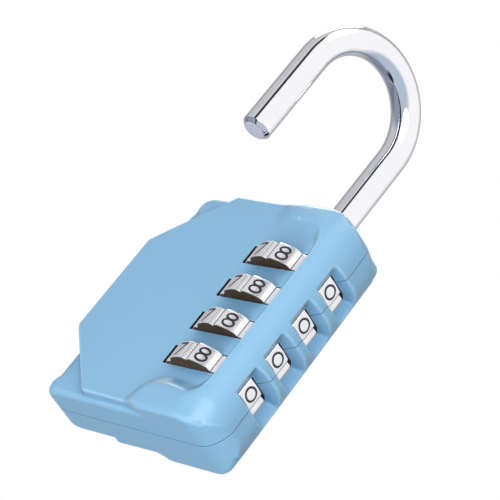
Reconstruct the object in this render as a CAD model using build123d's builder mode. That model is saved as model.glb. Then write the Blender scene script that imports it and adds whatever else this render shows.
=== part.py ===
"""Four-dial combination padlock with a steel shackle, open and swivelled to the front.

Frame: +Z runs up along the shackle, the front faces -Y and the dials sit on the +X side.
The origin is the centre of the flat bottom face. The two covers meet in the plane y = 0.
"""
import os
from math import cos, radians, sin, sqrt

from build123d import *

os.makedirs("parts", exist_ok=True)

# ---------------------------------------------------------------- driving dimensions (mm)
# Case: two moulded covers around a cast core
dial_count = 4
dial_pitch = 8.0
case_width = 45.2
case_end_room = 17.0  # height beyond one pitch per dial
case_height = dial_count * dial_pitch + case_end_room
case_left_corner = 3.5  # outline corner radii; the other two are on the right
case_bottom_corner = 5.3
case_top_corner = 8.0
base_depth = 5.1  # from the parting plane to the low outer level
base_side_step = 1.0  # the low level stops this far inside the panel's left edge
base_edge_radius = 1.4
cover_wall = 1.3
dish_wall = 0.9  # the front wall behind the dish and the panel
core_gap = 0.1  # between the core and the covers
core_reach = 7.7  # from the dial axis towards the side face
core_slot_gap = 0.05  # the core's dial slots are wider than the windows by this

# Raised panel with two clipped corners on its left side
panel_depth = 6.8
panel_chamfer = 12.9
panel_bottom_margin = 1.1
panel_top_margin = 0.4
panel_overlap = 1.0  # the panel runs this far into the dial housing

# Housing that swells around the dials, with a shallow dish in its face
housing_depth = 8.3
housing_reach = 8.5  # from the dial axis towards the panel
housing_side_radius = 7.5
housing_shoulder = 1.6
dish_depth = 6.3  # from the parting plane to the dish's floor
dish_reach = 7.3  # from the dial axis towards the side face
dish_end_margin = 4.6
dish_corner_radius = 6.0

# Dials: number wheels on slotted hubs, around the shackle's long leg
dial_inset = 11.8  # from the side face to the dial axis
lowest_dial = 12.5  # height of the lowest dial's centre
dial_radius = 9.05
dial_width = 3.7
dial_numbers = 10
dial_first_angle = 2.0  # the "0" land stands this far behind the side direction
groove_angle = 12.0
groove_depth = 0.7
dial_side_clearance = 0.23
dial_rim_clearance = 0.2

# Windows
front_window_reach = 7.2  # from the dial axis towards the panel
scoop_front = 2.1  # front edge of the side window, in front of the parting plane
scoop_back = 4.14
scoop_front_bevel = 3.0
scoop_end_bevel = 1.25

# Shackle
shackle_radius = 2.78
shackle_spacing = 25.1
shackle_swivel = 81.3  # turned this far from the closed direction
shackle_lift = 8.0
shackle_straight = 18.35  # from the short leg's tip to the start of the bow
shackle_end_gap = 0.25  # the lifted tip clears the case's top by this much
shackle_tip_chamfer = 0.5
leg_clearance = 0.22
leg_running_gap = 0.06
socket_floor_gap = 0.65
long_leg_tail = 3.7  # below the lowest fin

# Fins on the long leg, and the hubs' gates
fin_tip_radius = 3.7
fin_width = 2.0
fin_height = 2.0
fin_end_gap = 0.3  # from a fin to the ledge above it
gate_clearance = 0.2
chamber_gap = 0.15
hub_radius = 4.4
hub_ledge_rise = 0.1  # the ledge starts this far above the dial's centre
hub_ledge = 1.65
hub_running_gap = 0.05
spline_depth = 0.33
spline_width = 0.8
spline_gap = 0.1
washer_thickness = 0.5

# Bush at the top; spring, plug and pin at the bottom
bush_step = 0.2  # the bush is this much smaller than the hubs
plug_base = 2.0
plug_cup_radius = 3.0
pin_radius = 0.5
fixed_fit_gap = 0.03
spring_wire_radius = 0.17
spring_radius = 1.75
spring_turns = 6
follower_step = 0.18  # the follower is this much smaller than the leg
follower_thickness = 0.8
follower_spigot_radius = 1.3
follower_spigot = 1.4

# Detent comb: a spring strip with one finger per dial
comb_thickness = 0.25
comb_gap = 0.45  # from a finger to the dials' rims
comb_finger_width = 2.4
comb_spine_width = 1.6
comb_nose_depth = 0.35  # how far a nose reaches into a dial's groove
comb_nose_half = 0.9
comb_travel = 0.85
comb_cover_gap = 0.4
comb_seat_gap = 0.05
comb_pocket_gap = 0.3

# ---------------------------------------------------------------- derived places
case_left = -case_width / 2
case_right = case_width / 2
dial_axis = case_right - dial_inset
dial_heights = [lowest_dial + dial_pitch * index for index in range(dial_count)]
dial_places = [(dial_axis, 0, height) for height in dial_heights]
window_height = dial_width + 2 * dial_side_clearance
pocket_radius = dial_radius + dial_rim_clearance
core_inset = cover_wall + core_gap
core_depth = base_depth - cover_wall - core_gap
pad_depth = dish_depth - dish_wall - core_gap
core_right = dial_axis + core_reach
core_bottom = core_inset
core_top = case_height - core_inset
panel_right = dial_axis - housing_reach + panel_overlap
hub_half = (dial_pitch - washer_thickness - 2 * hub_running_gap) / 2
hub_bore_radius = hub_radius + hub_running_gap
chamber_radius = fin_tip_radius + chamber_gap
ledge_bore_radius = shackle_radius + leg_clearance - hub_running_gap
fin_reach = sqrt(fin_tip_radius**2 - (fin_width / 2) ** 2)
hub_stack_top = dial_heights[-1] + hub_half + 2 * hub_running_gap
hub_stack_bottom = dial_heights[0] - hub_half - hub_running_gap
fin_tops = [height + hub_ledge_rise - fin_end_gap + shackle_lift for height in dial_heights]
bush_bottom = fin_tops[-1] + fin_end_gap
bush_radius = hub_radius - bush_step
tip_height = case_height + shackle_end_gap
bow_height = tip_height + shackle_straight
long_leg_bottom = fin_tops[0] - fin_height - long_leg_tail
short_leg_x = dial_axis - shackle_spacing
socket_radius = shackle_radius + leg_clearance
socket_bottom = tip_height - shackle_lift - socket_floor_gap
plug_floor = core_bottom + plug_base
swivel_cos = cos(radians(shackle_swivel))
swivel_sin = sin(radians(shackle_swivel))
open_direction = (-swivel_cos, -swivel_sin, 0)


def plan_point(angle, radius):
    """A point beside the dial axis; angles run from the side face towards the front."""
    return (dial_axis + radius * cos(radians(angle)), -radius * sin(radians(angle)))


# ---------------------------------------------------------------- shared outlines
def round_right_corners(outline, inset):
    """Rounds the right-hand corners of the front view being sketched."""
    corners = outline.vertices().group_by(Axis.X)[-1].sort_by(Axis.Y)
    fillet(corners[0], case_bottom_corner - inset)
    fillet(corners[-1], case_top_corner - inset)


def case_outline(inset):
    """The low level's outline, seen from the front, set in by a wall."""
    width = case_width - base_side_step - 2 * inset
    with BuildSketch(Plane.XZ) as outline:
        with Locations((base_side_step / 2, case_height / 2)):
            Rectangle(width, case_height - 2 * inset)
        fillet(outline.vertices().group_by(Axis.X)[0], case_left_corner - inset)
        round_right_corners(outline, inset)
    return outline.sketch


def panel_outline(inset, right):
    """The raised panel's outline with its clipped corners, set in by a wall."""
    left = case_left + inset
    bottom = panel_bottom_margin + inset
    top = case_height - panel_top_margin - inset
    clip = panel_chamfer - inset * (2 - sqrt(2))
    with BuildSketch(Plane.XZ) as outline:
        with BuildLine():
            Polyline(
                (right, bottom),
                (left + clip, bottom),
                (left, bottom + clip),
                (left, top - clip),
                (left + clip, top),
                (right, top),
                close=True,
            )
        make_face()
    return outline.sketch


def side_plan():
    """The front half of the whole case with its rounded side, seen from above."""
    centre = (case_right - housing_side_radius, housing_side_radius - housing_depth)
    with BuildSketch(Plane.XY) as plan:
        with BuildLine():
            Polyline(
                (case_right, centre[1]),
                (case_right, 0),
                (case_left, 0),
                (case_left, -housing_depth),
                (centre[0], -housing_depth),
            )
            CenterArc(centre, housing_side_radius, -90, 90)
        make_face()
    return plan.sketch


def housing_plan():
    """The dial housing's front half, seen from above, before its side is rounded."""
    left = dial_axis - housing_reach
    with BuildSketch(Plane.XY) as plan:
        with BuildLine():
            Polyline(
                (case_right, 0),
                (left, 0),
                (left, -panel_depth),
                (left + housing_shoulder, -housing_depth),
                (case_right, -housing_depth),
                close=True,
            )
        make_face()
    return plan.sketch


def dish_outline():
    """The dish around the dials, seen from the front, at its floor."""
    left = dial_axis - housing_reach
    right = dial_axis + dish_reach
    with BuildSketch(Plane.XZ.offset(dish_depth)) as dish:
        with Locations(((left + right) / 2, case_height / 2)):
            Rectangle(right - left, case_height - 2 * dish_end_margin)
        fillet(dish.vertices().group_by(Axis.X)[-1], dish_corner_radius)
    return dish.sketch


def tower_outline(inset, right):
    """The core's full-height tower around the dial axis, seen from the front."""
    left = dial_axis - housing_reach + inset
    height = case_height - 2 * inset
    with BuildSketch(Plane.XZ) as outline:
        with Locations((left, inset)):
            Rectangle(right - left, height, align=(Align.MIN, Align.MIN))
    return outline.sketch


def corner_outline(inset):
    """The case's rounded right-hand corners, open to the left."""
    with BuildSketch(Plane.XZ) as outline:
        with Locations((case_right - inset, case_height / 2)):
            height = case_height - 2 * inset
            Rectangle(2 * case_width, height, align=(Align.MAX, Align.CENTER))
        round_right_corners(outline, inset)
    return outline.sketch


def core_form(inset, low_depth, high_depth, right):
    """The cast core's blank; with a smaller inset it is also the covers' hollow."""
    shapes = [
        (case_outline(inset), low_depth),
        (panel_outline(inset, right), high_depth),
        (tower_outline(inset, right), high_depth),
    ]
    with BuildPart() as blank:
        for outline, depth in shapes:
            extrude(outline, amount=depth, both=True)
        extrude(corner_outline(inset), amount=high_depth, both=True, mode=Mode.INTERSECT)
        with Locations((right, 0, case_height / 2)):
            Box(
                case_width,
                4 * high_depth,
                2 * case_height,
                align=(Align.MIN, Align.CENTER, Align.CENTER),
                mode=Mode.SUBTRACT,
            )
    return blank.part


# ---------------------------------------------------------------- cutters
core_space = core_form(
    cover_wall, core_depth + core_gap, pad_depth + core_gap, core_right + core_gap
)

# Finger scoop beside each dial, at height 0: its floor leans in towards the back,
# and the dial's rim stands out of it between the window's two edges
scoop_front_x = sqrt(pocket_radius**2 - scoop_front**2)
scoop_back_x = sqrt(pocket_radius**2 - scoop_back**2)
scoop_lean = (scoop_front_x - scoop_back_x) / (scoop_front + scoop_back)
scoop_overrun = 2.0
scoop_far = housing_depth + scoop_overrun
with BuildPart() as scoop:
    floor_end = scoop_back_x - scoop_lean * (scoop_far - scoop_back)
    outside = dial_inset + scoop_overrun
    bevel_run = scoop_front_bevel * (outside - scoop_front_x) / (dial_inset - scoop_front_x)
    with BuildSketch(Plane.XY.offset(-dial_pitch / 2)):
        with BuildLine():
            Polyline(
                (dial_axis + outside, -scoop_front - bevel_run),
                (dial_axis + scoop_front_x, -scoop_front),
                (dial_axis + floor_end, scoop_far),
                (dial_axis + outside, scoop_far),
                close=True,
            )
        make_face()
    extrude(amount=dial_pitch)
    end_run = scoop_end_bevel * (outside - floor_end) / (dial_inset - floor_end)
    with BuildSketch(Plane.XZ):
        with BuildLine():
            Polyline(
                (dial_axis + floor_end, -window_height / 2),
                (dial_axis + outside, -window_height / 2 - end_run),
                (dial_axis + outside, window_height / 2 + end_run),
                (dial_axis + floor_end, window_height / 2),
                close=True,
            )
        make_face()
    extrude(amount=2 * scoop_far, both=True, mode=Mode.INTERSECT)


# ---------------------------------------------------------------- covers
def cover_form():
    """The outside of the front cover, from the parting plane forwards."""
    low_outline = case_outline(0)
    panel = panel_outline(0, panel_right)
    plan = housing_plan()
    rounded = side_plan()
    dish = dish_outline()
    with BuildPart() as housing:
        extrude(plan, amount=case_height)
        extrude(low_outline, amount=housing_depth, mode=Mode.INTERSECT)
        extrude(dish, amount=housing_depth, mode=Mode.SUBTRACT)
    with BuildPart() as form:
        extrude(low_outline, amount=base_depth)
        fillet(form.faces().sort_by(Axis.Y)[0].edges(), base_edge_radius)
        extrude(panel, amount=panel_depth)
        add(housing.part)
        extrude(rounded, amount=case_height, mode=Mode.INTERSECT)
    return form.part


front_form = cover_form()
with BuildPart() as back_form_builder:
    mirror(front_form, about=Plane.XZ)
back_form = back_form_builder.part


def make_cover(name, form, facing):
    """One cover with its hollow, windows, scoops and leg holes; facing is -1 at the front."""
    left_run = front_window_reach / 2
    with BuildPart() as cover:
        add(form)
        add(core_space, mode=Mode.SUBTRACT)
        with Locations(*dial_places):
            Cylinder(pocket_radius, window_height, mode=Mode.SUBTRACT)
        window_centre = (dial_axis - front_window_reach + left_run / 2, facing * housing_depth)
        with Locations(*[(*window_centre, height) for height in dial_heights]):
            Box(left_run, 2 * (housing_depth - pad_depth), window_height, mode=Mode.SUBTRACT)
        with Locations(*[(0, 0, height) for height in dial_heights]):
            add(scoop.part, mode=Mode.SUBTRACT)
        with Locations((dial_axis, 0, case_height), (short_leg_x, 0, case_height)):
            Cylinder(socket_radius, 4 * core_inset, mode=Mode.SUBTRACT)
    cover.part.label = name
    export_step(cover.part, f"parts/{name}.step")
    return cover.part


front_cover = make_cover("front_cover", front_form, -1)
back_cover = make_cover("back_cover", back_form, 1)

# ---------------------------------------------------------------- core
comb_face = dial_axis - dial_radius - comb_gap  # the side of the strip that faces the dials
comb_back = comb_face - comb_thickness
comb_front_y = -pad_depth + comb_cover_gap
comb_spine_back = comb_front_y + comb_spine_width
groove = 360 / dial_numbers * (dial_numbers / 2 + 0.5) - dial_first_angle
nose_tip = plan_point(groove, dial_radius - comb_nose_depth)
nose_middle = plan_point(groove, dial_radius + comb_gap + comb_thickness)[1]
finger_back = nose_middle + 2 * comb_nose_half
core_blank = core_form(core_inset, core_depth, pad_depth, core_right)
with BuildPart() as core_block:
    add(core_blank)
    # Slots for the dials
    with Locations(*dial_places):
        Cylinder(pocket_radius + core_slot_gap, window_height, mode=Mode.SUBTRACT)
    # One stepped bore for the hubs, the top fin's chamber and the bush
    bore_steps = [
        (hub_bore_radius, core_bottom, hub_stack_top),
        (chamber_radius, core_bottom, bush_bottom),
        (bush_radius + fixed_fit_gap, bush_bottom, core_top),
    ]
    for radius, low, high in bore_steps:
        with BuildSketch(Plane.XY.offset(low)):
            with Locations((dial_axis, 0)):
                Circle(radius)
        extrude(amount=high - low, mode=Mode.SUBTRACT)
    # Socket for the short leg
    with BuildSketch(Plane.XY.offset(socket_bottom)):
        with Locations((short_leg_x, 0)):
            Circle(socket_radius)
    extrude(amount=case_height - socket_bottom, mode=Mode.SUBTRACT)
    # Seat for the detent comb's spine, open to the front, and a pocket for each finger
    with BuildSketch(Plane.XY.offset(dial_heights[0] - comb_finger_width)):
        with Locations((comb_back - comb_seat_gap, comb_spine_back)):
            seat_width = comb_thickness + 2 * comb_seat_gap
            Rectangle(seat_width, 2 * pad_depth, align=(Align.MIN, Align.MAX))
    extrude(
        amount=dial_heights[-1] - dial_heights[0] + 2 * comb_finger_width, mode=Mode.SUBTRACT
    )
    for height in dial_heights:
        with BuildSketch(Plane.XY.offset(height - comb_finger_width / 2 - comb_pocket_gap)):
            with Locations((comb_back - comb_travel, finger_back + comb_pocket_gap)):
                pocket_width = nose_tip[0] + comb_pocket_gap - comb_back + comb_travel
                Rectangle(pocket_width, 3 * pad_depth, align=(Align.MIN, Align.MAX))
        extrude(amount=comb_finger_width + 2 * comb_pocket_gap, mode=Mode.SUBTRACT)
    # Cross hole for the plug's pin
    with BuildSketch(Plane.XZ):
        with Locations((dial_axis, core_bottom + plug_base / 2)):
            Circle(pin_radius + fixed_fit_gap)
    extrude(amount=2 * pad_depth, both=True, mode=Mode.SUBTRACT)
core_block.part.label = "core_block"
export_step(core_block.part, "parts/core_block.step")

with BuildPart() as core_plug:
    plug_top = hub_stack_bottom - hub_running_gap
    with BuildSketch(Plane.XY.offset(core_bottom)):
        with Locations((dial_axis, 0)):
            Circle(hub_bore_radius - fixed_fit_gap)
    extrude(amount=plug_top - core_bottom)
    with BuildSketch(Plane.XY.offset(plug_floor)):
        with Locations((dial_axis, 0)):
            Circle(plug_cup_radius)
    extrude(amount=plug_top - plug_floor, mode=Mode.SUBTRACT)
    with BuildSketch(Plane.XZ):
        with Locations((dial_axis, core_bottom + plug_base / 2)):
            Circle(pin_radius + fixed_fit_gap)
    extrude(amount=2 * hub_radius, both=True, mode=Mode.SUBTRACT)
core_plug.part.label = "core_plug"
export_step(core_plug.part, "parts/core_plug.step")

with BuildPart() as plug_pin:
    with BuildSketch(Plane.XZ):
        with Locations((dial_axis, core_bottom + plug_base / 2)):
            Circle(pin_radius)
    extrude(amount=pad_depth - core_gap, both=True)
    chamfer(plug_pin.edges(), pin_radius / 4)
plug_pin.part.label = "plug_pin"
export_step(plug_pin.part, "parts/plug_pin.step")

with BuildPart() as shackle_bush:
    with BuildSketch(Plane.XY.offset(bush_bottom)):
        with Locations((dial_axis, 0)):
            Circle(bush_radius)
            Circle(shackle_radius + leg_running_gap, mode=Mode.SUBTRACT)
    extrude(amount=core_top - bush_bottom)
shackle_bush.part.label = "shackle_bush"
export_step(shackle_bush.part, "parts/shackle_bush.step")

# ---------------------------------------------------------------- detent comb
with BuildPart() as detent_comb:
    with BuildSketch(Plane.XY.offset(dial_heights[0] - comb_finger_width / 2)):
        with Locations((comb_back, comb_front_y)):
            Rectangle(comb_thickness, comb_spine_width, align=(Align.MIN, Align.MIN))
    extrude(amount=dial_heights[-1] - dial_heights[0] + comb_finger_width)
    for height in dial_heights:
        with BuildSketch(Plane.XY.offset(height - comb_finger_width / 2)):
            with Locations((comb_back, comb_front_y)):
                finger_length = finger_back - comb_front_y
                Rectangle(comb_thickness, finger_length, align=(Align.MIN, Align.MIN))
            with BuildLine():
                Polyline(
                    (comb_back, nose_middle - comb_nose_half),
                    (comb_face, nose_middle - comb_nose_half),
                    nose_tip,
                    (comb_face, nose_middle + comb_nose_half),
                    (comb_back, nose_middle + comb_nose_half),
                    close=True,
                )
            make_face()
        extrude(amount=comb_finger_width)
detent_comb.part.label = "detent_comb"
export_step(detent_comb.part, "parts/detent_comb.step")

# ---------------------------------------------------------------- dials and hubs
spline_angles = [360 / dial_numbers * index for index in range(dial_numbers)]


def make_dial(number, height):
    """A number wheel: ten lands parted by V grooves, and inner teeth that drive its hub."""
    groove_half = radians(groove_angle / 2)
    with BuildPart() as dial:
        with BuildSketch(Plane.XY.offset(height - dial_width / 2)):
            with Locations((dial_axis, 0)):
                Circle(dial_radius)
                Circle(hub_bore_radius, mode=Mode.SUBTRACT)
            for index in range(dial_numbers):
                middle = 360 / dial_numbers * (index + 0.5) - dial_first_angle
                with BuildLine():
                    Polyline(
                        plan_point(middle, dial_radius - groove_depth),
                        plan_point(middle - groove_angle / 2, dial_radius),
                        plan_point(middle, (dial_radius + groove_depth) / cos(groove_half)),
                        plan_point(middle + groove_angle / 2, dial_radius),
                        close=True,
                    )
                make_face(mode=Mode.SUBTRACT)
        extrude(amount=dial_width)
        with BuildSketch(Plane.XY.offset(height + hub_ledge_rise + spline_gap)):
            for angle in spline_angles:
                middle = plan_point(angle, hub_bore_radius - spline_depth / 2 + spline_gap)
                with Locations(Location((*middle, 0), (0, 0, -angle))):
                    Rectangle(spline_depth + 2 * spline_gap, spline_width)
        extrude(amount=hub_ledge - 2 * spline_gap)
    dial.part.label = f"dial_{number}"
    export_step(dial.part, f"parts/dial_{number}.step")


def make_hub(number, height):
    """A slotted hub: a ledge with two gates that the shackle's fin can pass."""
    low = height - hub_half
    ledge_low = height + hub_ledge_rise
    ledge_high = ledge_low + hub_ledge
    gate_reach = fin_reach + gate_clearance
    with BuildPart() as hub:
        with BuildSketch(Plane.XY.offset(low)):
            with Locations((dial_axis, 0)):
                Circle(hub_radius)
                Circle(ledge_bore_radius, mode=Mode.SUBTRACT)
        extrude(amount=2 * hub_half)
        for start, end in ((low, ledge_low), (ledge_high, height + hub_half)):
            with BuildSketch(Plane.XY.offset(start)):
                with Locations((dial_axis, 0)):
                    Circle(chamber_radius)
            extrude(amount=end - start, mode=Mode.SUBTRACT)
        # One gate for the closed direction, one for the swivelled direction
        for turn in (180, 180 + shackle_swivel):
            gate_plane = Plane(
                origin=(dial_axis, 0, ledge_low),
                x_dir=(cos(radians(turn)), sin(radians(turn)), 0),
                z_dir=(0, 0, 1),
            )
            with BuildSketch(gate_plane):
                Rectangle(
                    gate_reach,
                    fin_width + 2 * gate_clearance,
                    align=(Align.MIN, Align.CENTER),
                )
            extrude(amount=hub_ledge, mode=Mode.SUBTRACT)
        # Notches for the dial's inner teeth
        with BuildSketch(Plane.XY.offset(ledge_low)):
            for angle in spline_angles:
                middle = plan_point(angle, hub_radius)
                with Locations(Location((*middle, 0), (0, 0, -angle))):
                    notch_depth = spline_depth + hub_running_gap
                    Rectangle(2 * notch_depth, spline_width + 2 * spline_gap)
        extrude(amount=hub_half - hub_ledge_rise, mode=Mode.SUBTRACT)
    hub.part.label = f"hub_{number}"
    export_step(hub.part, f"parts/hub_{number}.step")


for number, height in enumerate(reversed(dial_heights), start=1):
    make_dial(number, height)
    make_hub(number, height)

with BuildPart() as hub_washers:
    for height in dial_heights[:-1]:
        with BuildSketch(Plane.XY.offset(height + hub_half + hub_running_gap)):
            with Locations((dial_axis, 0)):
                Circle(hub_radius)
                Circle(chamber_radius, mode=Mode.SUBTRACT)
        extrude(amount=washer_thickness)
hub_washers.part.label = "hub_washers"
export_step(hub_washers.part, "parts/hub_washers.step")

# ---------------------------------------------------------------- shackle
open_plane = Plane(
    origin=(dial_axis, 0, 0),
    x_dir=open_direction,
    z_dir=(-swivel_sin, swivel_cos, 0),
)
with BuildPart() as shackle:
    with BuildLine(open_plane) as bow:
        Line((0, long_leg_bottom), (0, bow_height))
        CenterArc((shackle_spacing / 2, bow_height), shackle_spacing / 2, 180, -180)
        Line((shackle_spacing, bow_height), (shackle_spacing, tip_height))
    with BuildSketch(Plane.XY.offset(long_leg_bottom)):
        with Locations((dial_axis, 0)):
            Circle(shackle_radius)
    sweep(path=bow.wires()[0])
    tip_and_tail = shackle.faces().filter_by(GeomType.PLANE).edges()
    chamfer(tip_and_tail, shackle_tip_chamfer)
    for fin_top in fin_tops:
        fin_plane = Plane(
            origin=(dial_axis, 0, fin_top - fin_height),
            x_dir=open_direction,
            z_dir=(0, 0, 1),
        )
        with BuildSketch(fin_plane):
            Rectangle(fin_reach, fin_width, align=(Align.MIN, Align.CENTER))
        extrude(amount=fin_height)
shackle.part.label = "shackle"
export_step(shackle.part, "parts/shackle.step")

with BuildPart() as spring_follower:
    # A small cap that the spring pushes against the long leg's end
    with BuildSketch(Plane.XY.offset(long_leg_bottom - follower_thickness)):
        with Locations((dial_axis, 0)):
            Circle(shackle_radius - follower_step)
    extrude(amount=follower_thickness)
    with BuildSketch(Plane.XY.offset(long_leg_bottom - follower_thickness)):
        with Locations((dial_axis, 0)):
            Circle(follower_spigot_radius)
    extrude(amount=-follower_spigot)
spring_follower.part.label = "spring_follower"
export_step(spring_follower.part, "parts/spring_follower.step")

with BuildPart() as shackle_spring:
    spring_bottom = plug_floor + spring_wire_radius
    spring_top = long_leg_bottom - follower_thickness - spring_wire_radius
    spring_height = spring_top - spring_bottom
    with BuildLine(Plane.XY.offset(spring_bottom)) as coil:
        Helix(spring_height / spring_turns, spring_height, spring_radius, center=(dial_axis, 0, 0))
    with BuildSketch(Plane(origin=coil.line @ 0, z_dir=coil.line % 0)):
        Circle(spring_wire_radius)
    sweep(path=coil.line, is_frenet=True)
shackle_spring.part.label = "shackle_spring"
export_step(shackle_spring.part, "parts/shackle_spring.step")
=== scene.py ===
"""Looks of the four-dial combination padlock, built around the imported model. Metres."""

from math import cos, pi, radians, sin

import bmesh
import bpy
import numpy as np
from mathutils import Matrix, Vector


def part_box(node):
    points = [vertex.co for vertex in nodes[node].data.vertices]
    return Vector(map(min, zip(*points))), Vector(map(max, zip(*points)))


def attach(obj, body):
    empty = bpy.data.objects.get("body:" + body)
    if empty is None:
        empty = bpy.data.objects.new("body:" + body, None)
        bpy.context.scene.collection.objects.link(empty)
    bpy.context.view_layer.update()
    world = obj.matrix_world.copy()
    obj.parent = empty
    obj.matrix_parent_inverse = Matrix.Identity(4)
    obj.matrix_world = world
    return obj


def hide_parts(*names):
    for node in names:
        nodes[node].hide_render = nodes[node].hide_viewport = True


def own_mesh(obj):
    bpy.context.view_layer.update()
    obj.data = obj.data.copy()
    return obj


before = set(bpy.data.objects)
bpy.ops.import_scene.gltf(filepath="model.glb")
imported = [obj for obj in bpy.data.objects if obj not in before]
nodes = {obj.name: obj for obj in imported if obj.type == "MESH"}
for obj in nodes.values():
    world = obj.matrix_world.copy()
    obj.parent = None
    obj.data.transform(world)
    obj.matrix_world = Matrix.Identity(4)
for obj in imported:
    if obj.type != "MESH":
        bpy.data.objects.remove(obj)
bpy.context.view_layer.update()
MM = 0.001
scene = bpy.context.scene

# ---------------------------------------------------------------- sizes (mm, in the part's frame)
CASE_HALF = 22.6
CASE_TOP = 49.0
DIAL_X = 10.8
DIAL_HEIGHTS = [12.5, 20.5, 28.5, 36.5]
DIAL_RADIUS = 9.045
DIAL_WIDTH = 3.7
DIAL_BORE = 4.5
POCKET_RADIUS = 9.25
WINDOW_HEIGHT = 4.16
WINDOW_REACH = 7.2
LEG_SPACING = 25.1
LEG_HOLE_RADIUS = 3.0
FAR = 60
GRID = 0.25

# Levels of the case, as distances from the plane where the covers meet
LOW_LEVEL = 5.3
PANEL_LEVEL = 6.85
SIDE_LEVEL = 8.3
LIP_HEIGHT = 1.9

# Outline of the case, seen from the front
LOW_LEFT = -21.6
BOTTOM_CORNER = 5.3
TOP_CORNER = 6.5
PANEL_CORNER = 12.9
PANEL_LOW, PANEL_HIGH = 1.1, 48.6
END_SLOPE = 0.16

# ---------------------------------------------------------------- camera
CAMERA_PLACE = (308.2, -235.8, -137.1)
CAMERA_TARGET = (1.56, -5.21, 38.39)
CAMERA_ROLL = 38.75
CAMERA_LENS = 171.4
CAMERA_SENSOR = 36

camera = bpy.data.objects.new("camera", bpy.data.cameras.new("camera"))
scene.collection.objects.link(camera)
camera.location = Vector(CAMERA_PLACE) * MM
aim = Vector(CAMERA_TARGET) - Vector(CAMERA_PLACE)
camera.rotation_mode = "QUATERNION"
roll = Matrix.Rotation(radians(CAMERA_ROLL), 4, "Z").to_quaternion()
camera.rotation_quaternion = aim.to_track_quat("-Z", "Y") @ roll
camera.data.lens = CAMERA_LENS
camera.data.sensor_width = CAMERA_SENSOR
camera.data.clip_start, camera.data.clip_end = 0.01, 20
scene.camera = camera
scene.view_settings.view_transform = "Standard"


# ---------------------------------------------------------------- smooth shape functions
def smooth_max(a, b, r):
    """The larger of two distances, with a round edge of radius r where they meet."""
    return np.minimum(-r, np.maximum(a, b)) + np.hypot(np.maximum(r + a, 0), np.maximum(r + b, 0))


def smooth_min(a, b, r):
    """The smaller of two distances, with a round inner corner of radius r where they meet."""
    return -smooth_max(-a, -b, r)


def ease(value, start, end):
    """0 at start, 1 at end, with a smooth run between."""
    t = np.clip((value - start) / (end - start), 0, 1)
    return t * t * (3 - 2 * t)


def rounded_box(x, z, left, right, bottom, top, left_radius, right_radius):
    """Signed distance to a rectangle in x and z, with its own corner radius on the left and right."""
    middle = (left + right) / 2
    r = np.where(x < middle, left_radius, right_radius)
    qx = np.abs(x - middle) - (right - left) / 2 + r
    qz = np.abs(z - (bottom + top) / 2) - (top - bottom) / 2 + r
    return np.minimum(np.maximum(qx, qz), 0) + np.hypot(np.maximum(qx, 0), np.maximum(qz, 0)) - r


def right_side(x, y, z):
    """The rounding of the right-hand side, shared by every level, which falls away at both ends."""
    low_slope = END_SLOPE - 0.13 * ease(y, -0.5, 0.5)
    fall = low_slope * np.maximum(0, 5.3 - z) + END_SLOPE * np.maximum(0, z - 44.5)
    radius = 7.5 - 1.0 * ease(y, 0, 0.6)
    return smooth_max(x - CASE_HALF + 0.02 * z, np.abs(y) - SIDE_LEVEL + fall, radius)


def right_corners(x, y, z):
    """The outline's rounded corners at the bottom right and the top right."""
    lower = rounded_box(x, z, -FAR, CASE_HALF, 0, 200, 1, BOTTOM_CORNER)
    upper_radius = TOP_CORNER + 1.2 * ease(y, 0, 4)
    upper = rounded_box(x, z, -FAR, CASE_HALF, -200, CASE_TOP, 1, upper_radius)
    return np.maximum(lower, upper)


def low_level(x, y, z, corners):
    """The low level all round: a bullnose on the left, tighter edges at the top and bottom."""
    left_corner = 2.8 + 3.2 * ease(z, 20, 30)
    outline = np.maximum(rounded_box(x, z, LOW_LEFT, FAR, 0, CASE_TOP, left_corner, 1), corners)
    out = np.maximum(-17.2 - x, 0)
    along = np.maximum(np.abs(z - CASE_TOP / 2) - CASE_TOP / 2 + 4.4, 0)
    edge_radius = 1.0 + 3.4 * out**2 / (out**2 + along**2 + 0.001)
    return smooth_max(outline, np.abs(y) - LOW_LEVEL, edge_radius)


def raised_level(x, y, z, corners):
    """The raised face: a flat panel on the left, a dish and lips around the dials."""
    across = x - DIAL_X
    swell = ease(across, -9, -3)
    # Outline, with the panel's two slanted corners on the left
    foot = np.where(y < 0, 1.0, 0.2) * (1 - swell)
    slant = PANEL_CORNER - (x + CASE_HALF)
    slant_low = (slant - (z - PANEL_LOW)) / 2**0.5
    slant_high = (slant - (PANEL_HIGH - z)) / 2**0.5
    edge = np.maximum(np.maximum(foot - z, z - CASE_TOP), corners)
    left = smooth_max(-CASE_HALF - x, smooth_max(slant_low, slant_high, 0.5), 0.5)
    edge = smooth_max(edge, left, 0.5)
    # Lips at both ends and the ridge on the right, joined by round inner corners
    lip_low = rounded_box(across, z + 0.021 * (across + 1) ** 2, -7.8, FAR, -FAR, 7.0, 4.5, 1)
    lip_high = rounded_box(across, z + 0.016 * (across + 2.3) ** 2, -7.8, FAR, 44.0, 120, 4.5, 1)
    ridge = 1.6 * (6.9 - across)
    lip = smooth_min(smooth_min(lip_low, ridge, 5.0), smooth_min(lip_high, ridge, 4.5), 0.5)
    height = LIP_HEIGHT - 1.4 * (1 - ease(across, -8, 1)) * ease(z, 20, 30)
    level = PANEL_LEVEL - 0.45 * ease(x, -22, 3) + 0.12 * ease(across, -6, 7)
    face = (np.abs(y) - level - height * ease(-lip, -1.3, 2.7)) / 1.2
    return smooth_max(edge, face, 0.4 + 0.8 * swell)


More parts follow.
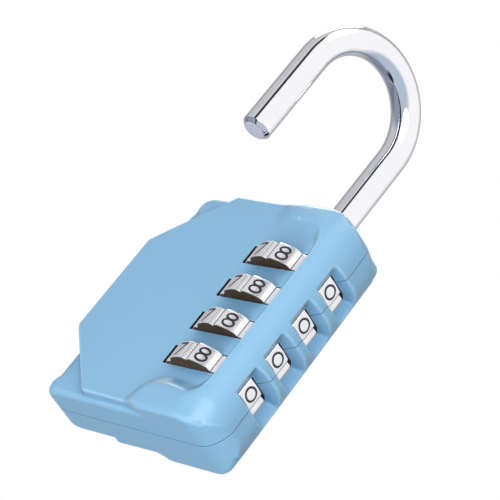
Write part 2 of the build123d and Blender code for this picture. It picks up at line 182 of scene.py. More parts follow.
def finger_scoop(x, y, z, height):
    """The hollow beside the dial at a height, where a finger reaches it; open to the back."""
    across = x - DIAL_X
    floor = (8.76 - 0.1186 * y) - across
    front = ((-2.1 - y) * 2.79 + (9.01 - across) * 3.0) / np.hypot(2.79, 3.0)
    back = ((y - 4.3) * 2.0 + (8.25 - across) * 2.4) / np.hypot(2.0, 2.4)
    flare = 0.42
    reach = WINDOW_HEIGHT / 2 + flare * (across - 8.8)
    sides = (np.abs(z - height) - reach) / np.hypot(1, flare)
    return smooth_max(smooth_max(np.maximum(floor, back), front, 0.35), sides, 0.35)


def case_field(x, y, z):
    """Signed distance (mm, negative inside) to the case's outside, without its windows."""
    side = right_side(x, y, z)
    corners = right_corners(x, y, z)
    base = np.maximum(low_level(x, y, z, corners), side)
    raised = smooth_max(raised_level(x, y, z, corners), side, 0.8)
    body = np.minimum(base, raised)
    for height in DIAL_HEIGHTS:
        body = smooth_max(body, -finger_scoop(x, y, z, height), 0.3)
    return body


CUBE = [(i, j, k) for i in (0, 1) for j in (0, 1) for k in (0, 1)]
CUBE_EDGES = [
    (a, b)
    for a in range(8)
    for b in range(a + 1, 8)
    if sum(abs(CUBE[a][n] - CUBE[b][n]) for n in range(3)) == 1
]


def surface_net(field, lowest, highest, pitch):
    """Vertices (mm) and quads of the field's zero surface, with the vertices drawn onto it."""
    counts = [int((highest[n] - lowest[n]) / pitch) + 2 for n in range(3)]
    axes = [lowest[n] + pitch * np.arange(counts[n], dtype=np.float32) for n in range(3)]
    x, y, z = np.meshgrid(*axes, indexing="ij", sparse=True)
    values = field(x, y, z).astype(np.float32)
    inside = values < 0
    corner = [
        inside[i : counts[0] - 1 + i, j : counts[1] - 1 + j, k : counts[2] - 1 + k]
        for i, j, k in CUBE
    ]
    total = sum(c.astype(np.int8) for c in corner)
    cells = np.argwhere((total > 0) & (total < 8))
    number = -np.ones(total.shape, np.int32)
    number[tuple(cells.T)] = np.arange(len(cells))
    sample = np.stack([values[tuple((cells + c).T)] for c in CUBE], 1)
    place = np.zeros((len(cells), 3))
    share = np.zeros(len(cells))
    for a, b in CUBE_EDGES:
        va, vb = sample[:, a], sample[:, b]
        crossed = (va < 0) != (vb < 0)
        t = np.where(crossed, va / np.where(crossed, va - vb, 1), 0)[:, None]
        point = np.array(CUBE[a]) + t * (np.array(CUBE[b]) - np.array(CUBE[a]))
        place += point * crossed[:, None]
        share += crossed
    place = np.array(lowest) + pitch * (cells + place / share[:, None])
    quads = []
    for axis in range(3):
        other = [n for n in range(3) if n != axis]
        if axis == 1:
            other.reverse()
        here = [slice(None)] * 3
        there = [slice(None)] * 3
        here[axis], there[axis] = slice(0, -1), slice(1, None)
        for n in other:
            here[n] = there[n] = slice(1, -1)
        first, second = inside[tuple(here)], inside[tuple(there)]
        spots = np.argwhere(first != second)
        leaving = first[tuple(spots.T)]
        spots = spots + np.array([0 if n == axis else 1 for n in range(3)])
        ring = []
        for back in ((1, 1), (0, 1), (0, 0), (1, 0)):
            cell = spots.copy()
            cell[:, other[0]] -= back[0]
            cell[:, other[1]] -= back[1]
            ring.append(number[tuple(cell.T)])
        ring = np.stack(ring, 1)
        quads.append(np.where(leaving[:, None], ring, ring[:, ::-1]))
    quads = np.concatenate(quads)
    # Newton steps towards the surface, each shorter than a cell
    step = 0.02
    for _ in range(3):
        value = field(*place.T)
        slope = np.stack(
            [
                (field(*(place + step * axis).T) - field(*(place - step * axis).T)) / (2 * step)
                for axis in np.eye(3)
            ],
            1,
        )
        size = np.maximum((slope**2).sum(1), 0.1)
        move = -value[:, None] * slope / size[:, None]
        length = np.linalg.norm(move, axis=1)
        move *= np.minimum(1, 0.4 * pitch / np.maximum(length, 1e-9))[:, None]
        place = place + move
    return place, quads


def mesh_object(name, points, faces):
    """An object from points in mm."""
    data = bpy.data.meshes.new(name)
    data.from_pydata([], [], [])
    points = np.asarray(points, float) * MM
    faces = np.asarray(faces)
    data.vertices.add(len(points))
    data.vertices.foreach_set("co", points.ravel())
    sides = faces.shape[1]
    data.loops.add(faces.size)
    data.loops.foreach_set("vertex_index", faces.ravel().astype(np.int32))
    data.polygons.add(len(faces))
    data.polygons.foreach_set("loop_start", np.arange(0, faces.size, sides, dtype=np.int32))
    data.polygons.foreach_set("loop_total", np.full(len(faces), sides, dtype=np.int32))
    data.update(calc_edges=True)
    data.validate()
    piece = bpy.data.objects.new(name, data)
    scene.collection.objects.link(piece)
    return piece


def cylinder(radius, low, high, centre, sides=128):
    """A closed cylinder along Z, as an object."""
    data = bmesh.new()
    bmesh.ops.create_cone(
        data, cap_ends=True, segments=sides, radius1=radius * MM, radius2=radius * MM,
        depth=(high - low) * MM,
        matrix=Matrix.Translation(Vector((*centre, (low + high) / 2)) * MM),
    )
    mesh = bpy.data.meshes.new("cutter")
    data.to_mesh(mesh)
    data.free()
    piece = bpy.data.objects.new("cutter", mesh)
    scene.collection.objects.link(piece)
    return piece


def block(low, high):
    """A closed box between two corners, as an object."""
    corners = [[(low, high)[pick][n] for n, pick in enumerate(c)] for c in CUBE]
    faces = [(0, 1, 3, 2), (4, 6, 7, 5), (0, 4, 5, 1), (2, 3, 7, 6), (0, 2, 6, 4), (1, 5, 7, 3)]
    return mesh_object("cutter", corners, faces)


def combine(piece, cutter, operation):
    """Applies a boolean to the piece's mesh and removes the cutter."""
    modifier = piece.modifiers.new("boolean", "BOOLEAN")
    modifier.operation = operation
    modifier.solver = "MANIFOLD"
    modifier.object = cutter
    graph = bpy.context.evaluated_depsgraph_get()
    result = bpy.data.meshes.new_from_object(piece.evaluated_get(graph))
    piece.modifiers.clear()
    old = piece.data
    piece.data = result
    bpy.data.meshes.remove(old)
    bpy.data.objects.remove(cutter)


# ---------------------------------------------------------------- covers
SEAM = 0.05
# Boxes that hollow out both covers behind their wall, as two corners each
HOLLOWS = (
    ((-20.2, -3.9, 3.5), (18.4, 3.9, 43.0)),
    ((-16.5, -3.7, 1.4), (15.0, 3.7, 47.0)),
    ((-21.2, -5.3, 14.6), (18.4, 5.3, 35.1)),
    ((2.4, -5.4, 3.5), (18.4, 5.4, 43.0)),
)
points, quads = surface_net(
    case_field, (-CASE_HALF - 0.6, -9.1, -0.63), (CASE_HALF + 0.6, 9.1, CASE_TOP + 0.6), GRID
)


def make_cover(name, facing):
    """One half of the case, hollowed, with its dial pockets, windows and leg holes."""
    cover = mesh_object("case_" + name, points, quads)
    near, far = sorted((facing * SEAM, facing * 12))
    combine(cover, block((-30, near, -5), (30, far, 60)), "INTERSECT")
    for low, high in HOLLOWS:
        combine(cover, block(low, high), "DIFFERENCE")
    half = WINDOW_HEIGHT / 2
    near, far = sorted((facing * 4.5, facing * 9.5))
    for height in DIAL_HEIGHTS:
        low, high = height - half, height + half
        combine(cover, cylinder(POCKET_RADIUS, low, high, (DIAL_X, 0)), "DIFFERENCE")
        window = block((DIAL_X - WINDOW_REACH, near, low), (DIAL_X - 2, far, high))
        combine(cover, window, "DIFFERENCE")
    for leg in (DIAL_X, DIAL_X - LEG_SPACING):
        combine(cover, cylinder(LEG_HOLE_RADIUS, 40, 60, (leg, 0)), "DIFFERENCE")
    cover.data.shade_smooth()
    cover.data.set_sharp_from_angle(angle=radians(38))
    return cover


covers = []
for name, facing in (("front_cover", -1), ("back_cover", 1)):
    cover = make_cover(name, facing)
    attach(cover, "case")
    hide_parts(name)
    covers.append(cover)


# ---------------------------------------------------------------- dials and their numbers
def plan(angle, radius):
    """x, y beside the dial axis; angles in degrees from the side face towards the front."""
    return DIAL_X + radius * np.cos(np.radians(angle)), -radius * np.sin(np.radians(angle))


def ring_mesh(rings):
    """Vertices and quads of a stack of rings with the same number of points."""
    count = len(rings[0])
    faces = []
    for level in range(len(rings) - 1):
        here, above = level * count, (level + 1) * count
        for index in range(count):
            after = (index + 1) % count
            faces.append((here + index, here + after, above + after, above + index))
    return np.concatenate(rings), faces


def closed_tube(rings):
    """Vertices and quads of a stack of rings whose first and last are filled in."""
    points, faces = ring_mesh(rings)
    count = len(rings[0])
    for first, order in ((0, 1), ((len(rings) - 1) * count, -1)):
        last = first + count - 1
        for i in range(count // 2 - 1):
            face = (first + i, first + i + 1, last - 1 - i, last - i)
            faces.append(face[::order])
    return points, faces


DIGITS = 10
SECTOR = 360 / DIGITS
FIRST_GROOVE = 16
GROOVE_HALF = 5.85
GROOVE_DEPTH = 0.55
SLOT_DEPTH = 0.12
# Material slots of a dial
LAND, END, GROOVE = 0, 1, 2


def make_dial(number, height):
    """A number wheel: ten flat-ended lands with V grooves between, and a bore for its hub."""
    groove = (-GROOVE_HALF, -5.6, -3, -0.5, -0.12, 0.12, 0.5, 3, 5.6, GROOVE_HALF)
    land = np.linspace(GROOVE_HALF, SECTOR - GROOVE_HALF, 17)[1:-1]
    steps = np.concatenate([groove, land])
    count = DIGITS * len(steps)
    angles = np.concatenate([FIRST_GROOVE + SECTOR * sector + steps for sector in range(DIGITS)])
    reach = np.abs(np.tile((steps + SECTOR / 2) % SECTOR - SECTOR / 2, DIGITS))
    depth = GROOVE_DEPTH * np.clip(1 - reach / GROOVE_HALF, 0, 1) + SLOT_DEPTH * (reach < 0.2)
    outer = DIAL_RADIUS - depth
    half = DIAL_WIDTH / 2
    bore = np.full(count, DIAL_BORE)
    rim, bevel = 0.14, 0.04
    profile = [
        (bore, -half), (outer - rim, -half), (outer - bevel, -half + bevel), (outer, -half + rim),
        (outer, half - rim), (outer - bevel, half - bevel), (outer - rim, half), (bore, half),
    ]
    rings = []
    for radius, level in profile:
        px, py = plan(angles, radius)
        rings.append(np.stack([px, py, np.full(count, height + level)], 1))
    points, faces = ring_mesh(rings)
    top = (len(rings) - 1) * count
    faces += [(top + i, top + (i + 1) % count, (i + 1) % count, i) for i in range(count)]
    faces = [face[::-1] for face in faces]
    dial = mesh_object(f"number_wheel_{number}", points, faces)
    finish = np.zeros(len(faces), np.int32)
    # The floor of each groove gets the near-black painted shade
    groove_floor = np.tile(np.isin(np.arange(len(steps)), (3, 4, 5)), DIGITS)
    for level in range(len(rings) - 1):
        finish[level * count : (level + 1) * count] = np.where(groove_floor, GROOVE, LAND)
    for level in (0, len(rings) - 2, len(rings) - 1):
        finish[level * count : (level + 1) * count] = END
    dial.data.polygons.foreach_set("material_index", finish)
    dial.data.shade_smooth()
    dial.data.set_sharp_from_angle(angle=radians(18))
    return dial


def arc(cx, cy, rx, ry, start, end, count=24):
    """Points along part of an ellipse, between two angles in degrees."""
    t = np.radians(np.linspace(start, end, count))
    return np.stack([cx + rx * np.cos(t), cy + ry * np.sin(t)], 1)


def line(*spots):
    """Points joined by straight lines."""
    return np.array(spots, float)


# Numbers as pen strokes, in mm from the middle of the number
six = [arc(0, -0.55, 1.08, 0.75, 0, 360), arc(0.42, -0.55, 1.5, 1.85, 180, 84)]
STROKES = {
    0: [arc(0, 0, 1.26, 1.2, 0, 360, 40)],
    1: [line((-0.55, 0.8), (0.1, 1.28), (0.1, -1.28))],
    2: [np.concatenate([arc(0, 0.6, 1.0, 0.68, 165, -35), line((-1.05, -1.28), (1.05, -1.28))])],
    3: [arc(0, 0.63, 0.92, 0.65, 155, -90), arc(0, -0.65, 1.06, 0.65, 90, -155)],
    4: [line((0.45, -1.28), (0.45, 1.28), (-1.1, -0.5), (1.1, -0.5))],
    5: [
        np.concatenate(
            [line((0.95, 1.28), (-0.8, 1.28), (-0.9, 0.1)), arc(0, -0.45, 1.08, 0.83, 145, -150)]
        )
    ],
    6: six,
    7: [line((-1.05, 1.28), (1.0, 1.28), (-0.35, -1.28))],
    8: [arc(0, 0.68, 1.0, 0.58, 0, 360), arc(0, -0.62, 1.12, 0.7, 0, 360)],
    9: [-part for part in six],
}
PEN = 0.22
NUMBER_HALF = 1.7
NUMBER_GRID = 0.09


def number_shape(digit):
    """Vertices (u right, v up, t outwards) and quads of one number, drawn with a round pen."""
    parts = STROKES[digit]
    starts = np.concatenate([part[:-1] for part in parts])
    ends = np.concatenate([part[1:] for part in parts])

    def field(u, v, t):
        flat = np.full(np.broadcast(u, v).shape, 9.0)
        for (ax, ay), (bx, by) in zip(starts, ends):
            dx, dy = bx - ax, by - ay
            k = np.clip(((u - ax) * dx + (v - ay) * dy) / (dx * dx + dy * dy), 0, 1)
            flat = np.minimum(flat, np.hypot(u - ax - k * dx, v - ay - k * dy))
        return smooth_max(flat - PEN, np.abs(t) - 0.2, 0.06)

    low = (-NUMBER_HALF, -NUMBER_HALF, -0.42)
    high = (NUMBER_HALF, NUMBER_HALF, 0.42)
    return surface_net(field, low, high, NUMBER_GRID)


number_shapes = {digit: number_shape(digit) for digit in STROKES}


def make_numbers(number, height):
    """The ten numbers of a wheel, wrapped around its lands."""
    verts, faces, base = [], [], 0
    for digit, (shape, quads_of) in number_shapes.items():
        middle = FIRST_GROOVE - SECTOR / 2 + SECTOR * ((DIGITS - digit) % DIGITS)
        radius = DIAL_RADIUS - 0.01 + 0.12 * shape[:, 2]
        angle = middle - np.degrees(shape[:, 0] / DIAL_RADIUS)
        px, py = plan(angle, radius)
        verts.append(np.stack([px, py, height + shape[:, 1]], 1))
        faces.append(quads_of + base)
        base += len(shape)
    numbers = mesh_object(f"wheel_numbers_{number}", np.concatenate(verts), np.concatenate(faces))
    numbers.data.shade_smooth()
    return numbers


dials, numbers = [], []
for index, height in enumerate(reversed(DIAL_HEIGHTS), start=1):
    dial = make_dial(index, height)
    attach(dial, f"dial_{index}")
    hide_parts(f"dial_{index}")
    dials.append(dial)
    marks = make_numbers(index, height)
    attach(marks, f"dial_{index}")
    numbers.append(marks)

# ---------------------------------------------------------------- shackle
SWIVEL = radians(81.3)
LEG = 2.765
TIP, BOW, TAIL = 49.25, 67.6, 14.6


def make_shackle():
    """A round bar bent into the bow, swept along the long leg, the bow and the short leg."""
    out = np.array([-cos(SWIVEL), -sin(SWIVEL), 0])
    flat = np.array([sin(SWIVEL), -cos(SWIVEL), 0])
    up = np.array([0, 0, 1.0])
    long_leg = np.array([DIAL_X, 0, 0])
    short_leg = long_leg + out * LEG_SPACING
    bow_middle = long_leg + up * BOW + out * LEG_SPACING / 2
    # Each station: its centre, the direction across the bar, and its share of the full radius
    stations = []
    tail_end = ((0, 0.05), (0, 0.5), (0, 0.82), (0.03, 0.86), (0.45, 0.99), (0.6, 1))
    for rise, share in tail_end:
        stations.append((long_leg + up * (TAIL + rise), out, share))
    for z in np.linspace(TAIL + 2, BOW, 30):
        stations.append((long_leg + up * z, out, 1))
    for t in np.linspace(0, pi, 97)[1:]:
        radial = -cos(t) * out + sin(t) * up
        stations.append((bow_middle + radial * LEG_SPACING / 2, -radial, 1))
    for z in np.linspace(BOW, TIP + 1, 14)[1:]:
        stations.append((short_leg + up * z, -out, 1))
    tip_end = ((0.8, 1), (0.68, 0.992), (0.06, 0.78), (0, 0.74), (0, 0.5), (0, 0.05))
    for rise, share in tip_end:
        stations.append((short_leg + up * (TIP + rise), -out, share))
    turn = np.linspace(0, 2 * pi, 96, endpoint=False)
    rings = [
        centre + LEG * share * (np.cos(turn)[:, None] * inward + np.sin(turn)[:, None] * flat)
        for centre, inward, share in stations
    ]
    return mesh_object("shackle_bar", *closed_tube(rings))


shackle = make_shackle()
shackle.data.shade_smooth()
shackle.data.set_sharp_from_angle(angle=radians(30))
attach(shackle, "shackle")
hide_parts("shackle")

# ---------------------------------------------------------------- spring under the shackle
SPRING_TURNS = 6
SPRING_LOW, SPRING_HIGH = (Vector(corner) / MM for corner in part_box("shackle_spring"))
WIRE = 0.17


def narrowed(ring):
    """Two smaller rings inside a ring, the last one near its middle."""
    middle = ring.mean(0)
    return [middle + (ring - middle) * share for share in (0.6, 0.1)]


def make_spring():
    """A coil of round wire between the plug and the follower."""
    sweep = np.linspace(0, 1, SPRING_TURNS * 32 + 1)
    angle = 2 * pi * SPRING_TURNS * sweep
    middle_x = (SPRING_LOW.x + SPRING_HIGH.x) / 2
    radius = (SPRING_HIGH.y - SPRING_LOW.y) / 2 - WIRE
    low, high = SPRING_LOW.z + WIRE, SPRING_HIGH.z - WIRE
    height = low + (high - low) * sweep
    turn = np.linspace(0, 2 * pi, 12, endpoint=False)
    rings = []
    for a, z in zip(angle, height):
        outward = np.array([cos(a), sin(a), 0])
        centre = np.array([middle_x, 0, z]) + radius * outward
        wire = np.cos(turn)[:, None] * outward + np.sin(turn)[:, None] * np.array([0, 0, 1.0])
        rings.append(centre + WIRE * wire)
    rings = narrowed(rings[0])[::-1] + rings + narrowed(rings[-1])
    points, faces = closed_tube(rings)
    return mesh_object("spring_coil", points, [face[::-1] for face in faces])


spring = make_spring()
spring.data.shade_smooth()
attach(spring, "case")
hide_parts("shackle_spring")
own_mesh(spring)


# ---------------------------------------------------------------- materials
def add_node(tree, kind, **values):
    """A new shader node with its properties set."""
    made = tree.nodes.new(kind)
    for key, value in values.items():
        setattr(made, key, value)
    return made


class Finish:
    """A procedural material: two-tone colour, roughness variation, bump and painted highlights on sharp
    edges.
    """

    def __init__(self, name, color, metallic, roughness):
        self.material = bpy.data.materials.new(name)
        self.material.use_nodes = True
        self.tree = self.material.node_tree
        self.shader = self.tree.nodes["Principled BSDF"]
        self.shader.inputs["Base Color"].default_value = (*color, 1)
        self.shader.inputs["Metallic"].default_value = metallic
        self.shader.inputs["Roughness"].default_value = roughness
        self.color = color
        self.where = self.tree.nodes.new("ShaderNodeTexCoord").outputs["Object"]
        self.color_out = None

    def node(self, kind, **values):
        return add_node(self.tree, kind, **values)

    def link(self, a, b):
        self.tree.links.new(a, b)

    def noise(self, scale, detail=3.0, stretch=None):
        """Noise in the object's own space, drawn out along an axis by stretch."""
        made = self.node("ShaderNodeTexNoise")
        made.inputs["Scale"].default_value = scale
        made.inputs["Detail"].default_value = detail
        source = self.where
        if stretch:
            mapping = self.node("ShaderNodeMapping")
            mapping.inputs["Scale"].default_value = stretch
            self.link(source, mapping.inputs["Vector"])
            source = mapping.outputs[0]
        self.link(source, made.inputs["Vector"])
        return made.outputs["Fac"]

    def spread(self, source, start, end, low, high):
        """Maps start..end of a value onto low..high."""
        made = self.node("ShaderNodeMapRange")
        for key, value in (("From Min", start), ("From Max", end), ("To Min", low), ("To Max", high)):
            made.inputs[key].default_value = value
        self.link(source, made.inputs["Value"])
        return made.outputs[0]

    def tint(self, share, color):
        """Mixes a colour over what is there, by share."""
        mix = self.node("ShaderNodeMix", data_type="RGBA")
        if self.color_out is None:
            mix.inputs["A"].default_value = (*self.color, 1)
        else:
            self.link(self.color_out, mix.inputs["A"])
        mix.inputs["B"].default_value = (*color, 1)
        self.link(share, mix.inputs["Factor"])
        self.color_out = mix.outputs["Result"]
        self.link(self.color_out, self.shader.inputs["Base Color"])

    def rough(self, source, start, end, low, high):
        """Roughness from low to high, by a value."""
        self.link(self.spread(source, start, end, low, high), self.shader.inputs["Roughness"])

    def bump(self, source, strength, distance):
        """Small bumps whose height is a value."""
        made = self.node("ShaderNodeBump")
        made.inputs["Strength"].default_value = strength
        made.inputs["Distance"].default_value = distance
        self.link(source, made.inputs["Height"])
        self.link(made.outputs[0], self.shader.inputs["Normal"])

    def edges(self, start, end):
        """0 on flat areas, 1 on sharp outer edges."""
        pointy = self.node("ShaderNodeNewGeometry").outputs["Pointiness"]
        return self.spread(pointy, start, end, 0, 1)


def blue_plastic():
    """Moulded plastic: painted highlights on its sharp edges, painted shade in hollows and along the
    parting line.
    """
    made = Finish("moulded_blue", (0.195, 0.385, 0.555), 0, 0.34)
    made.tint(made.spread(made.noise(70), 0.3, 0.7, 0, 0.10), (0.17, 0.355, 0.54))
    made.tint(made.spread(made.noise(1100, 4), 0.45, 0.75, 0, 0.06), (0.26, 0.46, 0.64))
    # Painted highlight: paler blue on sharp edges, found by pointiness
    made.tint(made.spread(made.edges(0.508, 0.54), 0, 1, 0, 0.35), (0.42, 0.64, 0.82))
    # Painted shade: deeper blue where ambient occlusion finds hollows
    hollow = made.node("ShaderNodeAmbientOcclusion", samples=8)
    hollow.inputs["Distance"].default_value = 0.004
    made.tint(made.spread(hollow.outputs["AO"], 0.45, 0.97, 0.75, 0), (0.075, 0.235, 0.44))
    # Painted shade: darker blue in a narrow band along the parting line
    axes = made.node("ShaderNodeSeparateXYZ")
    made.link(made.where, axes.inputs[0])
    away = made.node("ShaderNodeMath", operation="ABSOLUTE")
    made.link(axes.outputs["Y"], away.inputs[0])
    made.tint(made.spread(away.outputs[0], 0.00008, 0.00022, 0.6, 0), (0.05, 0.16, 0.32))
    made.rough(made.noise(300, 4), 0.3, 0.7, 0.30, 0.38)
    made.bump(made.noise(2600, 2), 0.10, 0.00003)
    made.shader.inputs["Specular IOR Level"].default_value = 0.4
    made.shader.inputs["Coat Weight"].default_value = 0.12
    made.shader.inputs["Coat Roughness"].default_value = 0.2
    return made.material


def painted_shade_finish():
    """Near-black painted shade for the walls inside the windows and the floors of the wheels' grooves."""
    made = Finish("painted_shade_finish", (0.006, 0.006, 0.008), 0, 0.6)
    made.tint(made.spread(made.noise(900), 0.4, 0.8, 0, 0.5), (0.02, 0.02, 0.024))
    made.bump(made.noise(2500), 0.2, 0.00003)
    return made.material


def metal(name, color, second, roughness, vary, scale, bump, stretch=None, metallic=1.0):
    """A metal in two close colours, whose roughness varies both ways by vary."""
    made = Finish(name, color, metallic, roughness)
    grain = made.noise(scale, 4, stretch)
    made.tint(made.spread(grain, 0.35, 0.7, 0, 0.5), second)
    coarse = made.noise(scale * 0.4, 3, stretch)
    made.rough(coarse, 0.3, 0.7, roughness - vary, roughness + vary)
    made.bump(grain, bump, 0.00002)
    return made.material


def black_paint():
    """The paint of the numbers."""
    made = Finish("black_paint", (0.012, 0.012, 0.014), 0, 0.35)
    made.tint(made.spread(made.noise(1500), 0.4, 0.8, 0, 0.5), (0.03, 0.03, 0.034))
    made.bump(made.noise(3000), 0.15, 0.00002)
    return made.material


blue = blue_plastic()
painted_shade = painted_shade_finish()
chrome = metal("polished_chrome", (0.93, 0.93, 0.95), (0.88, 0.88, 0.91), 0.045, 0.015, 260, 0.01)
wheel = metal(
    "satin_wheel", (0.90, 0.90, 0.92), (0.85, 0.85, 0.88), 0.25, 0.03, 240, 0.01, metallic=0.75
)
# Painted shade and reflection: the wheels' end faces in a flat dark brown
wheel_end = metal(
    "painted_shade_end", (0.055, 0.031, 0.013), (0.030, 0.017, 0.008), 0.55, 0.08, 700, 0.1, metallic=0
)
cut_end = metal(
    "sawn_end", (0.56, 0.56, 0.62), (0.44, 0.44, 0.50), 0.6, 0.06, 500, 0.1, metallic=0.2
)
zinc = metal("cast_zinc", (0.10, 0.10, 0.105), (0.05, 0.05, 0.055), 0.5, 0.1, 500, 0.4)
brass = metal("turned_brass", (0.62, 0.45, 0.20), (0.50, 0.34, 0.14), 0.3, 0.06, 400, 0.1, (1, 1, 9))
steel = metal("spring_steel", (0.40, 0.40, 0.42), (0.28, 0.28, 0.30), 0.3, 0.06, 600, 0.1)
paint = black_paint()

def face_vectors(piece, kind):
    """The center or the normal of every face."""
    faces = piece.data.polygons
    values = np.zeros(len(faces) * 3)
    faces.foreach_get(kind, values)
    return values.reshape(-1, 3)


def inside_openings(cover):
    """True for each face that lines a dial pocket, or a window's flat ends."""
    centre = face_vectors(cover, "center") / MM
    normal = np.abs(face_vectors(cover, "normal"))
    reach = np.hypot(centre[:, 0] - DIAL_X, centre[:, 1])
    found = np.zeros(len(centre), bool)
    for height in DIAL_HEIGHTS:
        near = np.abs(centre[:, 2] - height) < WINDOW_HEIGHT / 2 + 0.01
        walls = near & (reach < POCKET_RADIUS + 0.02)
        box = near & (centre[:, 0] < DIAL_X - 1.9) & (centre[:, 0] > DIAL_X - WINDOW_REACH - 0.01)
        found |= walls | (box & ((normal[:, 2] > 0.9) | (normal[:, 0] > 0.9)))
    return found


# The chrome mirrors neither the covers nor the inside, as in the retouched photo
for cover in covers:
    cover.visible_glossy = False
    cover.data.materials.clear()
    cover.data.materials.append(blue)
    cover.data.materials.append(painted_shade)
    # Faces lining the dial pockets and the window ends get the near-black painted shade in place of blue
    # plastic
    cover.data.polygons.foreach_set("material_index", inside_openings(cover).astype(np.int32))
for dial in dials:
    for finish in (wheel, wheel_end, painted_shade):
        dial.data.materials.append(finish)
for marks in numbers:
    marks.data.materials.append(paint)
spring.data.materials.append(steel)
shackle.data.materials.append(chrome)
shackle.data.materials.append(cut_end)
centre = face_vectors(shackle, "center") / MM
sawn = (centre[:, 1] < -10) & (centre[:, 2] < TIP + 0.03)
shackle.data.polygons.foreach_set("material_index", sawn.astype(np.int32))
FINISHES = {
    "core_block": zinc, "core_plug": zinc, "shackle_bush": brass,
    "spring_follower": brass, "plug_pin": steel, "detent_comb": steel, "hub_washers": steel,
    "hub_1": brass, "hub_2": brass, "hub_3": brass, "hub_4": brass,
}
for name, finish in FINISHES.items():
    nodes[name].visible_glossy = False
    data = nodes[name].data
    if not data.materials:
        data.materials.append(finish)
    for slot_of in nodes[name].material_slots:
        slot_of.material = finish


# ---------------------------------------------------------------- light and stage
def direction(azimuth, height):
    """Unit vector; azimuth in degrees from +X towards +Y."""
    a, h = radians(azimuth), radians(height)
    return Vector((cos(a) * cos(h), sin(a) * cos(h), sin(h)))


LAMP_DISTANCE = 0.5
LAMP_AIM = Vector((0, 0, 0.03))


def soft_light(name, azimuth, height, size, power, glossy=True):
    """A round lamp (m, W) that points at the middle of the lock."""
    lamp = bpy.data.objects.new(name, bpy.data.lights.new(name, "AREA"))
    lamp.data.shape = "DISK"
    lamp.data.size = size
    lamp.data.energy = power
    toward = direction(azimuth, height)
    lamp.location = toward * LAMP_DISTANCE + LAMP_AIM
    lamp.rotation_mode = "QUATERNION"
    lamp.rotation_quaternion = (-toward).to_track_quat("-Z", "Y")
    lamp.visible_camera = False
    lamp.visible_glossy = glossy
    scene.collection.objects.link(lamp)
    return lamp


world = bpy.data.worlds.new("studio")
scene.world = world
world.use_nodes = True
tree = world.node_tree
tree.nodes.clear()


def node(kind, **values):
    """A new node in the world's tree."""
    return add_node(tree, kind, **values)


def link(a, b):
    tree.links.new(a, b)


# What polished metal sees: white on the right, greys at the back and left, a dark strip in front
place = node("ShaderNodeTexCoord")
split = node("ShaderNodeSeparateXYZ")
link(place.outputs["Generated"], split.inputs[0])
turn = node("ShaderNodeMath", operation="ARCTAN2")
link(split.outputs["Y"], turn.inputs[0])
link(split.outputs["X"], turn.inputs[1])
part = node("ShaderNodeMapRange")
part.inputs["From Min"].default_value = -pi
part.inputs["From Max"].default_value = pi
link(turn.outputs[0], part.inputs["Value"])
ramp = node("ShaderNodeValToRGB")
link(part.outputs[0], ramp.inputs[0])
# Azimuth in degrees, and its grey
stops = [
    (-180, 0.36), (-165, 0.40), (-145, 0.60), (-125, 0.54), (-106, 0.68), (-101, 0.72), (-96, 0.04),
    (-82, 0.03), (-77, 1.0), (60, 1.0), (92, 0.52), (125, 0.42), (150, 0.55), (180, 0.36),
]
elements = ramp.color_ramp.elements
while len(elements) > 1:
    elements.remove(elements[-1])
for index, (angle, grey) in enumerate(stops):
    at = (angle + 180) / 360
    stop = elements[0] if index == 0 else elements.new(at)
    stop.position = at
    tint = 1.06 if grey < 0.9 else 1.0
    stop.color = (grey, grey, min(1, grey * tint), 1)
# Darker and bluer below the horizon
under = node("ShaderNodeMapRange")
under.inputs["From Min"].default_value = -0.1
under.inputs["From Max"].default_value = -0.4
link(split.outputs["Z"], under.inputs["Value"])
below = node("ShaderNodeMix", data_type="RGBA", blend_type="MULTIPLY")
link(under.outputs[0], below.inputs["Factor"])
link(ramp.outputs[0], below.inputs["A"])
below.inputs["B"].default_value = (0.48, 0.56, 0.66, 1)
studio = node("ShaderNodeBackground")
link(below.outputs["Result"], studio.inputs["Color"])
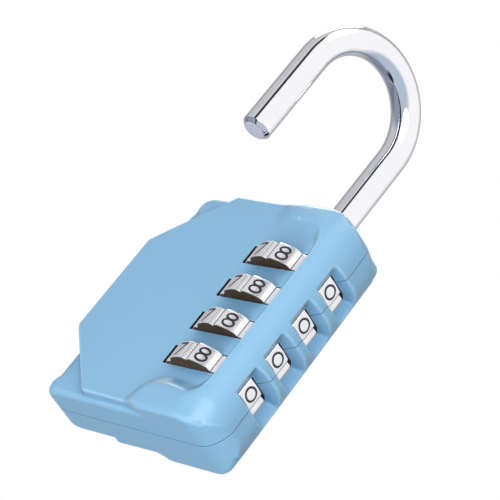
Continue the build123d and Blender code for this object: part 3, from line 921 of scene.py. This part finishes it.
# The camera sees plain white, and soft light comes from all round
plain = node("ShaderNodeBackground")
plain.inputs["Color"].default_value = (1, 1, 1, 1)
soft = node("ShaderNodeBackground")
soft.inputs["Color"].default_value = (0.9, 0.95, 1.0, 1)
soft.inputs["Strength"].default_value = 0.42
rays = node("ShaderNodeLightPath")
glossy_mix = node("ShaderNodeMixShader")
link(rays.outputs["Is Glossy Ray"], glossy_mix.inputs[0])
link(soft.outputs[0], glossy_mix.inputs[1])
link(studio.outputs[0], glossy_mix.inputs[2])
camera_mix = node("ShaderNodeMixShader")
link(rays.outputs["Is Camera Ray"], camera_mix.inputs[0])
link(glossy_mix.outputs[0], camera_mix.inputs[1])
link(plain.outputs[0], camera_mix.inputs[2])
link(camera_mix.outputs[0], node("ShaderNodeOutputWorld").inputs["Surface"])

soft_light("key", -50, -5, 0.4, 1.8)
soft_light("low", -60, -60, 0.4, 2.0, glossy=False)
soft_light("high", -60, 60, 0.3, 0.7)
soft_light("rear", 115, 25, 0.5, 2.2, glossy=False)
soft_light("left", -165, 57, 0.28, 1.5).visible_diffuse = False

# ---------------------------------------------------------------- floor
FLOOR_HALF = 900
FLOOR_LEVEL = -0.2
corners = [(FLOOR_HALF * x, FLOOR_HALF * y, FLOOR_LEVEL) for x, y in ((-1, -1), (1, -1), (1, 1), (-1, 1))]
floor = mesh_object("floor", corners, [(0, 1, 2, 3)])
floor.visible_diffuse = floor.visible_glossy = floor.visible_shadow = False
pale = Finish("pale_floor", (0.14, 0.14, 0.145), 0, 0.8)
pale.tint(pale.spread(pale.noise(30), 0.3, 0.7, 0, 0.4), (0.12, 0.12, 0.125))
pale.shader.inputs["Specular IOR Level"].default_value = 0.1
pale.shader.inputs["Emission Color"].default_value = (0.97, 0.985, 1.0, 1)
pale.shader.inputs["Emission Strength"].default_value = 0.66
# Seen from below, as in the photo, the floor is clear
clear = pale.node("ShaderNodeBsdfTransparent")
blend = pale.node("ShaderNodeMixShader")
side_seen = pale.node("ShaderNodeNewGeometry")
pale.link(side_seen.outputs["Backfacing"], blend.inputs[0])
pale.link(pale.shader.outputs[0], blend.inputs[1])
pale.link(clear.outputs[0], blend.inputs[2])
pale.link(blend.outputs[0], pale.tree.nodes["Material Output"].inputs["Surface"])
floor.data.materials.append(pale.material)
